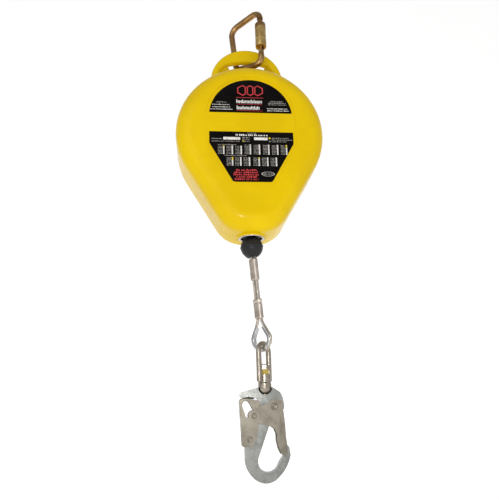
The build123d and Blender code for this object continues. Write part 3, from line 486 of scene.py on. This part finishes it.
def stranded(name, line, step, diameter):
    """Six strands round a core, as thin tubes along the line."""
    curve = bpy.data.curves.new(name, "CURVE")
    curve.dimensions = "3D"
    curve.bevel_depth = diameter / 6 * 1.04
    curve.bevel_resolution = 2
    curve.use_fill_caps = True
    frames = carried_frames(line)
    for strand in range(STRANDS + 1):
        spline = curve.splines.new("POLY")
        spline.points.add(len(line) - 1)
        for i, (point, (side, other)) in enumerate(zip(line, frames)):
            angle = 2 * math.pi * (strand / STRANDS + i * step / LAY)
            off = side * math.cos(angle) + other * math.sin(angle)
            reach = 0.0 if strand == STRANDS else diameter / 3 * 0.98
            spline.points[i].co = (*(point + off * reach), 1.0)
    holder = bpy.data.objects.new(name, curve)
    bpy.context.scene.collection.objects.link(holder)
    bpy.context.view_layer.update()
    mesh = bpy.data.meshes.new_from_object(holder)
    bpy.data.objects.remove(holder)
    bm = bmesh.new()
    bm.from_mesh(mesh)
    bpy.data.meshes.remove(mesh)
    bmesh.ops.remove_doubles(bm, verts=bm.verts[:], dist=1e-7)
    bmesh.ops.recalc_face_normals(bm, faces=bm.faces[:])
    return bm


def strand_steel(name):
    """The wires in a strand: fine slanted lines, bright on top and darker between as painted shade, with
    patches of grime.
    """
    r = Recipe(name, ROPE_LIGHT)
    lines = r.noise(1.0, 2.0, 0.6, r.place(turn=(0.5, 0.3, 0.0), scale=(1500, 1500, 260)))
    grime = r.band(r.noise(140.0, 4.0, 0.65), 0.44, 0.68)
    # Painted shade: the creases between the wires are 40% darker than the wire tops.
    tone = r.mix(r.band(lines, 0.32, 0.6), tuple(v * 0.6 for v in ROPE_LIGHT), ROPE_LIGHT)
    tone = r.mix(grime * 0.3, tone, ROPE_SHADE_AND_GRIME)
    return r.done(tone, grime * 0.16 + 0.3, r.bump(lines, 0.0001), Metallic=1.0)


STRAND_STEP = 0.0009
route = [LINE_PLACE @ (Vector((x, 0, z)) * MM) for x, z in ROPE_ROUTE]
rope_line = evenly(spline_line("rope_route", route), STRAND_STEP)
rope_length = sum((b - a).length for a, b in zip(rope_line, rope_line[1:]))
rope = piece("rope_end_stranded", stranded("rope_end_strands", rope_line, STRAND_STEP, ROPE_D * MM),
             "rope_line", "wire_rope", ("rope_end",), strand_steel("strand_steel"), 60.0)
print("rope end", round(rope_length, 4), "m along", len(rope_line), "points")

# %% [markdown]
# ## The rope at the throat
# Above the ball the rope runs into the housing. This stretch is a plain rod from the ball's top to
# the throat, and it rides on no body. Its strands are the pattern made earlier, which keeps its pitch
# however long the rod gets.

# %% Rope at the throat
THROAT_Z = DRUM_Z - 138.6
BALL_TOP_Z = DRUM_Z - 157.2
ROD_LOOPS = 24
bm = bmesh.new()
bmesh.ops.create_circle(bm, segments=24, radius=ROPE_D / 2 * MM, cap_ends=True)
bmesh.ops.translate(bm, verts=bm.verts[:], vec=Vector((0, 0, BALL_TOP_Z - 0.6)) * MM)
rise = (THROAT_Z - BALL_TOP_Z + 0.6) * MM / ROD_LOOPS
top = bm.faces[:]
for loop in range(ROD_LOOPS):
    grown = bmesh.ops.extrude_face_region(bm, geom=top, use_keep_orig=(loop == 0))["geom"]
    top = [g for g in grown if isinstance(g, bmesh.types.BMFace)]
    bmesh.ops.translate(bm, verts=[g for g in grown if isinstance(g, bmesh.types.BMVert)], vec=(0, 0, rise))
bmesh.ops.recalc_face_normals(bm, faces=bm.faces[:])
throat = piece("rope_at_throat", bm, None, "wire_rope", ("rope_run",))
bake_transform(throat)

# %% [markdown]
# ## Softened edges
# Forgings and stampings have no knife edges. A copy of the CAD piece is merged, its flat faces
# are joined up, and its sharp edges are bevelled, which catches a bright line of light. The nut
# then takes the bow's darker, duller zinc, partly as painted shade, for it sits in the bow's shade, and
# partly because it is never polished.


# %% Softened copies
def softened(node, name, width, angle=35.0, segments=3):
    bm = bmesh.new()
    bm.from_mesh(nodes[node].data)
    bmesh.ops.remove_doubles(bm, verts=bm.verts[:], dist=2e-6)
    bmesh.ops.dissolve_limit(bm, angle_limit=math.radians(0.4), verts=bm.verts[:], edges=bm.edges[:])
    edges = [e for e in bm.edges if len(e.link_faces) == 2 and e.calc_face_angle(0.0) > math.radians(angle)]
    bmesh.ops.bevel(bm, geom=edges, offset=width * MM, offset_type="OFFSET", affect="EDGES",
                    segments=segments, profile=0.5, material=-1, clamp_overlap=True)
    return piece(name, bm, body_of_node[node], slot_of_node[node], (node,), sharp=50.0, flat=True)


softened("hook_body", "hook_forging", 2.4)
softened("hook_gate", "hook_gate_stamping", 0.7)
softened("lock_lever", "lock_lever_stamping", 0.6)
nut = softened("swivel_nut", "swivel_nut_hex", 0.5)
# Painted shade in part: the nut takes the darker bow zinc because it sits in the bow's shade.
nut.data.materials[0] = finish["zinc_steel"]
softened("swivel_bow", "swivel_bow_forging", 0.8, angle=40.0)

# %% [markdown]
# ## Riveted joints
# The gate and the lever turn on rivets whose heads are dished by the press. A head is a turned
# shape, so half its outline is drawn once and spun about the rivet's axis.

# %% Rivets
HOOK_PLACE = Vector((12.0, 0.0, DRUM_Z - 375.0))


def spun(profile, axis, centre, steps):
    """A profile of (radius, along) pairs spun about an axis through a centre."""
    bm = bmesh.new()
    out = Vector((1, 0, 0))
    verts = [bm.verts.new((centre + out * r + axis * a) * MM) for r, a in profile]
    edges = [bm.edges.new(pair) for pair in zip(verts, verts[1:])]
    bmesh.ops.spin(bm, geom=verts + edges, cent=centre * MM, axis=axis, angle=2 * math.pi, steps=steps,
                   use_merge=True, use_duplicate=False)
    bmesh.ops.remove_doubles(bm, verts=bm.verts[:], dist=1e-6)
    bmesh.ops.recalc_face_normals(bm, faces=bm.faces[:])
    return bm


def dished_rivet(node, name, x, z, pin, half, head):
    end = half + 1.2
    side = [(0.0, end - 0.75), (head * 0.30, end - 0.7), (head * 0.50, end - 0.35), (head * 0.66, end - 0.02),
            (head * 0.80, end), (head * 0.94, end - 0.22), (head, end - 0.6), (head, half), (pin, half)]
    profile = side + [(r, -a) for r, a in reversed(side)]
    bm = spun(profile, Vector((0, 1, 0)), HOOK_PLACE + Vector((x, 0, z)), 40)
    return piece(name, bm, body_of_node[node], slot_of_node[node], (node,), sharp=50.0)


dished_rivet("gate_rivet", "gate_rivet_dished", 10.8, -25.4, 3.0, 9.7, 4.6)
dished_rivet("tail_rivet", "tail_rivet_dished", -17.5, -36.5, 2.4, 9.6, 3.9)
dished_rivet("lever_rivet", "lever_rivet_dished", -23.4, -66.2, 2.6, 7.85, 4.0)

# %% [markdown]
# ## The shadow under the beak
# Between the lever's cheeks a low block closes the gap under the beak, where the forging runs on
# behind the lever, and stops light from passing over the lever. Its near-black colour is painted shadow.

# %% Beak gap shadow
bm = bmesh.new()
size = Matrix.Diagonal((17.0 * MM, 5.0 * MM, 3.2 * MM, 1.0))
at = Matrix.Translation((HOOK_PLACE + Vector((-23.5, 0, -13.4))) * MM)
bmesh.ops.create_cube(bm, size=1.0, matrix=at @ size)
bmesh.ops.bevel(bm, geom=bm.edges[:], offset=0.5 * MM, affect="EDGES", segments=2, profile=0.5, material=-1)
# Painted shadow: the block is near-black because the gap under the beak lies in shade.
shade = plated("beak_gap_painted_shadow", (0.10, 0.10, 0.095), (0.06, 0.06, 0.055), 0.5)
piece("beak_gap_shadow_block", bm, "hook", "hook_steel", material=shade)

# %% [markdown]
# ## The gate's pressed ridge
# A narrow ridge runs down the gate's front cheek, pressed in to stiffen it. It is a row of
# rings that swells from nothing and fades again, so it grows out of the sheet at both ends.

# %% Gate ridge
GATE_FACE_Y = 9.6
RIDGE = [(17.3, -36.0, 0.15), (17.5, -38.0, 0.75), (18.2, -46.0, 0.95), (18.6, -54.0, 0.9),
         (18.7, -58.0, 0.7), (18.7, -60.0, 0.15)]
bm = bmesh.new()
for side in (-1, 1):
    rings = []
    for x, z, r in RIDGE:
        turn = Matrix.Translation((HOOK_PLACE + Vector((x, side * (GATE_FACE_Y - 0.05), z))) * MM)
        flat = Matrix.Diagonal((r * MM, 0.55 * r * MM, 1.0, 1.0))
        made = bmesh.ops.create_circle(bm, segments=12, radius=1.0, cap_ends=False, matrix=turn @ flat)
        rings.append([e for e in bm.edges if all(v in made["verts"] for v in e.verts)])
    for a, b in zip(rings, rings[1:]):
        bmesh.ops.bridge_loops(bm, edges=a + b)
    for last in (rings[0], rings[-1]):
        bmesh.ops.edgeloop_fill(bm, edges=last)
bmesh.ops.recalc_face_normals(bm, faces=bm.faces[:])
piece("gate_ridges", bm, "hook_gate", "warm_steel", sharp=60.0)

# %% [markdown]
# ## The twist sleeve
# The sleeve that locks the carabiner's gate is a turned tube with a knurled middle for the
# fingers. It is spun from its outline, and the middle rows are then pushed in and out in a
# crossed screw pattern, which is what a knurling wheel does. The collar above the knurl takes
# the darker gold of the carabiner's body.

# %% Twist sleeve
GATE_AXIS = Vector((30.5 * math.cos(math.radians(40)), -30.5 * math.sin(math.radians(40)), DRUM_Z))
KNURL_LOW, KNURL_HIGH, KNURL_PITCH = 175.6, 196.4, 1.25
outline = [(4.4, 161.5), (8.0, 161.5), (8.7, 161.9), (9.0, 162.8), (9.0, 173.4), (8.5, 173.8), (8.5, 174.8),
           (8.9, 175.2)]
rows = 40
outline += [(8.85, KNURL_LOW + (KNURL_HIGH - KNURL_LOW) * i / rows) for i in range(rows + 1)]
outline += [(8.9, 196.8), (8.5, 197.2), (8.5, 198.2), (9.0, 198.6), (9.0, 205.2), (8.7, 206.1), (8.0, 206.5),
            (4.4, 206.5), (4.4, 161.5)]
bm = spun(outline, Vector((0, 0, 1)), GATE_AXIS, 132)
teeth = round(2 * math.pi * 8.85 / KNURL_PITCH / 1.4)
for v in bm.verts:
    at = v.co / MM - GATE_AXIS
    radius = math.hypot(at.x, at.y)
    if radius < 8.6 or not KNURL_LOW - 0.1 < at.z < KNURL_HIGH + 0.1:
        continue
    turn = math.atan2(at.y, at.x) * teeth
    climb = (at.z - KNURL_LOW) / KNURL_PITCH * math.pi
    crest = max(math.cos(turn + climb), math.cos(turn - climb))
    scale = (8.85 - 0.2 * (1 - crest) / 2) / radius
    v.co.x = (GATE_AXIS.x + at.x * scale) * MM
    v.co.y = (GATE_AXIS.y + at.y * scale) * MM
sleeve = piece("sleeve_knurled", bm, "twist_sleeve", "gold_sleeve", ("carabiner_sleeve",), sharp=40.0)
sleeve.data.materials.append(finish["gold_steel"])
for face in sleeve.data.polygons:
    face.material_index = 1 if face.center.z / MM - DRUM_Z > 198.0 else 0

# %% [markdown]
# ## Pressed sleeves
# An aluminium sleeve is squeezed on the rope in a press, which leaves shallow waists across it.
# The CAD sleeve is cut across at each press mark, and the ring of points in the middle of the
# mark is pulled in towards the sleeve's own axis.


# %% Pressed sleeves
def pressed(node, name, marks):
    bm = bmesh.new()
    bm.from_mesh(nodes[node].data)
    bmesh.ops.remove_doubles(bm, verts=bm.verts[:], dist=2e-6)
    axis_normal = LINE_PLACE.to_3x3() @ Vector((0, 0, 1))
    shares = (-1, -0.5, 0, 0.5, 1)
    cuts = sorted({round(centre + half * share, 3) for centre, half, _ in marks for share in shares})
    for s in cuts:
        bmesh.ops.bisect_plane(bm, geom=bm.verts[:] + bm.edges[:] + bm.faces[:], dist=1e-7,
                               plane_co=LINE_PLACE @ (Vector((0, 0, -s)) * MM), plane_no=axis_normal)
    inverse = LINE_PLACE.inverted()
    bore = (ROPE_D / 2 + 0.15) * MM
    for v in bm.verts:
        at = inverse @ v.co
        nearest = min((Vector((x * MM, 0, at.z)) for x in (-LEG_X, LEG_X)), key=lambda c: (at - c).length)
        if (at - nearest).length < bore:
            continue
        for centre, half, depth in marks:
            gap = abs(-at.z / MM - centre) / half
            if gap < 1.0:
                squeeze = depth * MM * (1 + math.cos(math.pi * gap)) / 2
                flat = Vector((at.x, at.y, 0.0))
                at -= flat.normalized() * min(squeeze, 0.6 * MM)
        v.co = LINE_PLACE @ at
    return piece(name, bm, body_of_node[node], slot_of_node[node], (node,), sharp=45.0)


pressed("ferrule_upper", "rope_sleeve_upper", [(34.2, 9.0, 0.18)])
pressed("ferrule_lower", "rope_sleeve_lower", [(83.6, 1.0, 0.75), (95.0, 8.0, 0.18)])

# %% [markdown]
# ## Printing on the labels
# The two black labels carry rows of small print. Real lettering isn't needed: bars of the same
# size and place read as print from where anyone stands. Each colour of ink is one piece, made
# of thin plates that lie on the film.

# %% Label print
FILM_Y = -47.0 + 0.8 - 0.5
INK = 0.06
random.seed(7)
ink = {colour: bmesh.new() for colour in ("pale", "dim", "red", "yellow")}


def mark(colour, x0, x1, z0, z1):
    size = Matrix.Diagonal(((x1 - x0) * MM, INK * MM, (z1 - z0) * MM, 1.0))
    centre = Vector(((x0 + x1) / 2, FILM_Y - INK / 2 + 0.01, DRUM_Z + (z0 + z1) / 2)) * MM
    bmesh.ops.create_cube(ink[colour], size=1.0, matrix=Matrix.Translation(centre) @ size)


def print_line(colour, x0, x1, z, height, letter):
    """A line of print: bars of uneven width with gaps, and a wider gap between words."""
    x = x0
    while x < x1:
        wide = letter * random.uniform(0.55, 1.0)
        tall = height * random.choice((0.7, 0.7, 1.0))
        mark(colour, x, min(x + wide, x1), z - height / 2, z - height / 2 + tall)
        x += wide + letter * random.choice((0.35, 0.35, 0.35, 0.9))


def bold_line(colour, x0, x1, z, height, letter):
    """A line of bold print: heavy upright strokes in pairs joined by a short bar, which spell nothing."""
    x = x0
    while x + letter < x1:
        tall = height * (1.0 if x == x0 else random.choice((0.72, 0.72, 0.95)))
        low = z - height / 2
        mark(colour, x, x + letter * 0.32, low, low + tall)
        mark(colour, x + letter * 0.56, x + letter * 0.84, low, low + min(tall, height * 0.72))
        middle = low + height * random.choice((0.06, 0.36, 0.6))
        mark(colour, x + letter * 0.3, x + letter * 0.58, middle, middle + height * 0.13)
        x += letter


def outline_shape(colour, corners, x, z, radius, stroke, squash=1.0):
    """A regular outline, such as a ring or a hexagon, drawn as a flat frame."""
    bm = ink[colour]
    place = (Matrix.Translation(Vector((x, FILM_Y - INK / 2, DRUM_Z + z)) * MM)
             @ Matrix.Rotation(math.pi / 2, 4, "X") @ Matrix.Diagonal((1.0, squash, 1.0, 1.0)))
    outer, inner = (bmesh.ops.create_circle(bm, segments=corners, radius=r * MM, matrix=place)["verts"]
                    for r in (radius, radius - stroke))
    edges = [e for e in bm.edges if all(v in outer for v in e.verts) or all(v in inner for v in e.verts)]
    ring = bmesh.ops.bridge_loops(bm, edges=edges)["faces"]
    bmesh.ops.solidify(bm, geom=ring, thickness=INK * MM)


for x in (-11.5, 0.0, 11.5):
    outline_shape("red", 6, x, 61.5, 9.4, 1.9)
mark("red", -21.5, 19.8, 48.6, 49.4)
mark("red", -21.0, 18.0, 37.3, 37.8)
mark("red", -21.0, 18.0, 26.4, 26.9)
bold_line("pale", -21.4, 19.6, 42.6, 6.2, 4.4)
bold_line("pale", -21.0, 15.0, 31.8, 6.2, 4.4)
for x0, x1, z, colour in ((-52, -36, 40.7, "dim"), (-57.6, -31, 36.5, "pale"), (-57.8, -31, 32.4, "pale"),
                          (-60.5, -27, 28.6, "pale"), (30, 50, 43.3, "dim"), (27, 54, 40.6, "dim"),
                          (27, 55, 37.9, "dim"), (25, 56, 31.0, "pale"), (25, 58, 27.5, "pale")):
    print_line(colour, x0, x1, z, 1.7, 1.3)
print_line("dim", -6, 8, -11.0, 1.4, 1.3)
print_line("pale", -23.6, 24, -14.3, 2.8, 2.1)
mark("pale", -42.0, -17.0, -22.4, -18.0)
mark("pale", 3.6, 24.0, -22.4, -18.0)
for x0, x1, z in ((-59, -44, -20.8), (-59, -17, -24.8), (30, 55, -18.8), (30, 61, -21.6), (30, 52, -24.4)):
    print_line("dim", x0, x1, z, 1.6, 1.3)
for z in (-18.5, -21.4, -24.6):
    print_line("dim", -13.4, -2.5, z, 1.9, 1.5)
    mark("yellow" if z < -24 else "dim", -13.8, -11.6, z - 1.1, z + 1.1)
mark("yellow", 25.6, 28.2, -20.2, -17.8)
mark("dim", 26.0, 28.0, -25.2, -23.4)


def tick_column(x, top, rows, lit):
    """A column of tick boxes with its list of sizes beside it."""
    for row in range(rows):
        z = top - row * 2.35
        mark("yellow" if row in lit else "pale", x - 1.1, x + 1.1, z - 0.95, z + 0.95)
        print_line("dim", x - 8.4, x - 2.2, z, 1.5, 1.2)


for x, rows, lit in ((-41.6, 6, (0,)), (-29.0, 6, ()), (-15.9, 6, ()), (-2.4, 7, ()), (11.1, 7, ()),
                     (24.9, 7, ()), (38.1, 7, ()), (51.4, 7, (0, 1))):
    tick_column(x, -30.8 - (7 - rows) * 2.35, rows, lit)
for x, lit in ((-29.0, (0, 1)), (-16.9, ()), (-4.2, ()), (10.0, (0,)), (22.6, ()), (35.4, ())):
    tick_column(x, -51.6, 6, lit)
print_line("dim", -50, -22, -30.4, 1.5, 1.3)
print_line("dim", -41, -8, -47.9, 1.5, 1.3)
for x0, x1, z in ((-24, 6, -71.0), (-27, 8, -74.6), (-28, 8.5, -78.2), (-24, 6, -81.8), (-26.5, 8, -85.4)):
    print_line("red", x0, x1, z, 2.7, 2.4)
outline_shape("pale", 28, 22.5, -77.0, 9.5, 0.9, squash=0.36)
print_line("dim", 16.0, 29.0, -77.0, 1.8, 1.5)
INKS = {"pale": ((0.80, 0.77, 0.72), (0.55, 0.52, 0.47)), "dim": ((0.33, 0.31, 0.28), (0.18, 0.17, 0.155)),
        "red": ((0.58, 0.035, 0.04), (0.38, 0.02, 0.025)), "yellow": ((0.85, 0.66, 0.04), (0.65, 0.47, 0.02))}
for colour, bm in ink.items():
    bmesh.ops.recalc_face_normals(bm, faces=bm.faces[:])
    piece("print_" + colour, bm, "housing", "label", material=printed("ink_" + colour, *INKS[colour], 0.38))

# %% [markdown]
# ## The handle's webs
# Inside the handle's window a thin web closes each lower corner, halfway through the handle's
# depth. Each web is one drawn face given its thickness, with the mirrored twin on the other side.
# The webs' deeper yellow is painted shade, for they sit under the handle's bar.

# %% Handle webs
WEB = [(-43.9, 95.0), (-28.0, 95.0), (-26.5, 124.0), (-30.0, 135.0), (-36.0, 134.0), (-43.9, 126.0)]
bm = bmesh.new()
for side in (1, -1):
    verts = [bm.verts.new(Vector((x * side, -3.0, DRUM_Z + z)) * MM) for x, z in WEB]
    face = bm.faces.new(verts)
    grown = bmesh.ops.extrude_face_region(bm, geom=[face], use_keep_orig=True)["geom"]
    far_side = [g for g in grown if isinstance(g, bmesh.types.BMVert)]
    bmesh.ops.translate(bm, verts=far_side, vec=(0, 6.0 * MM, 0))
bmesh.ops.recalc_face_normals(bm, faces=bm.faces[:])
bmesh.ops.bevel(bm, geom=bm.edges[:], offset=1.2 * MM, affect="EDGES", segments=3, profile=0.5, material=-1)
# Painted shade: the webs take a deeper yellow than the handle they belong to.
piece("handle_webs", bm, "housing", "yellow_handle",
      material=moulded("web_yellow_painted_shade", (0.60, 0.39, 0.0), (0.52, 0.33, 0.0), 0.4, coat=0.0))

# %% [markdown]
# ## Mould lines
# Two fine raised lines cross the yellow band between the labels. They are real edges in the
# moulding, so they are geometry and catch the light from any side.

# %% Mould lines
bm = bmesh.new()
for x in (-11.7, 15.7):
    size = Matrix.Diagonal((0.55 * MM, 0.16 * MM, 32.0 * MM, 1.0))
    at = Matrix.Translation(Vector((x, -46.2 - 0.06, DRUM_Z + 7.2)) * MM)
    bmesh.ops.create_cube(bm, size=1.0, matrix=at @ size)
bmesh.ops.bevel(bm, geom=bm.edges[:], offset=0.06 * MM, affect="EDGES", segments=1, profile=0.5, material=-1)
piece("band_lines", bm, "housing", "yellow_shell")

# %% [markdown]
# ## The studio
# A pale floor below the hook, a bright wall behind, an even pale sky and three soft lamps. One
# lamp sits by the camera, as a flash does, and puts the small highlight low on the housing.

# %% Studio
FLOOR_Z = -1.10


def stage_sheet(name, corners, glow):
    bm = bmesh.new()
    bm.faces.new([bm.verts.new(c) for c in corners])
    mesh = bpy.data.meshes.new(name)
    bm.to_mesh(mesh)
    bm.free()
    r = Recipe(name, (0.9, 0.9, 0.9))
    tone = r.mix(r.noise(2.0), (0.90, 0.90, 0.895), (0.93, 0.93, 0.925))
    mesh.materials.append(r.done(tone, 0.8, Emission_Color=(1.0, 1.0, 1.0, 1.0), Emission_Strength=glow))
    made = bpy.data.objects.new(name, mesh)
    bpy.context.scene.collection.objects.link(made)


stage_sheet("floor", [(-6, -6, FLOOR_Z), (6, -6, FLOOR_Z), (6, 6, FLOOR_Z), (-6, 6, FLOOR_Z)], 0.40)
stage_sheet("wall", [(-6, 4, FLOOR_Z), (6, 4, FLOOR_Z), (6, 4, 6), (-6, 4, 6)], 0.44)


def soft_lamp(name, at, size, watts, aim=(0.0, 0.0, -0.35)):
    data = bpy.data.lights.new(name, "AREA")
    data.shape = "DISK"
    data.size = size
    data.energy = watts
    lamp = bpy.data.objects.new(name, data)
    bpy.context.scene.collection.objects.link(lamp)
    lamp.location = at
    lamp.rotation_euler = (Vector(aim) - Vector(at)).to_track_quat("-Z", "Y").to_euler()


soft_lamp("key", (-0.9, -1.6, 0.1), 2.0, 8.0)
soft_lamp("fill", (1.4, -1.2, -0.5), 1.6, 2.0)
soft_lamp("flash", tuple(camera.location + up * 0.07), 0.09, 1.2)
world = bpy.data.worlds.new("pale_room")
world.use_nodes = True
world.node_tree.nodes["Background"].inputs["Color"].default_value = (1.0, 1.0, 1.0, 1.0)
world.node_tree.nodes["Background"].inputs["Strength"].default_value = 0.5
bpy.context.scene.world = world
bpy.context.scene.view_settings.view_transform = "Standard"
print("studio ready, floor at", FLOOR_Z)
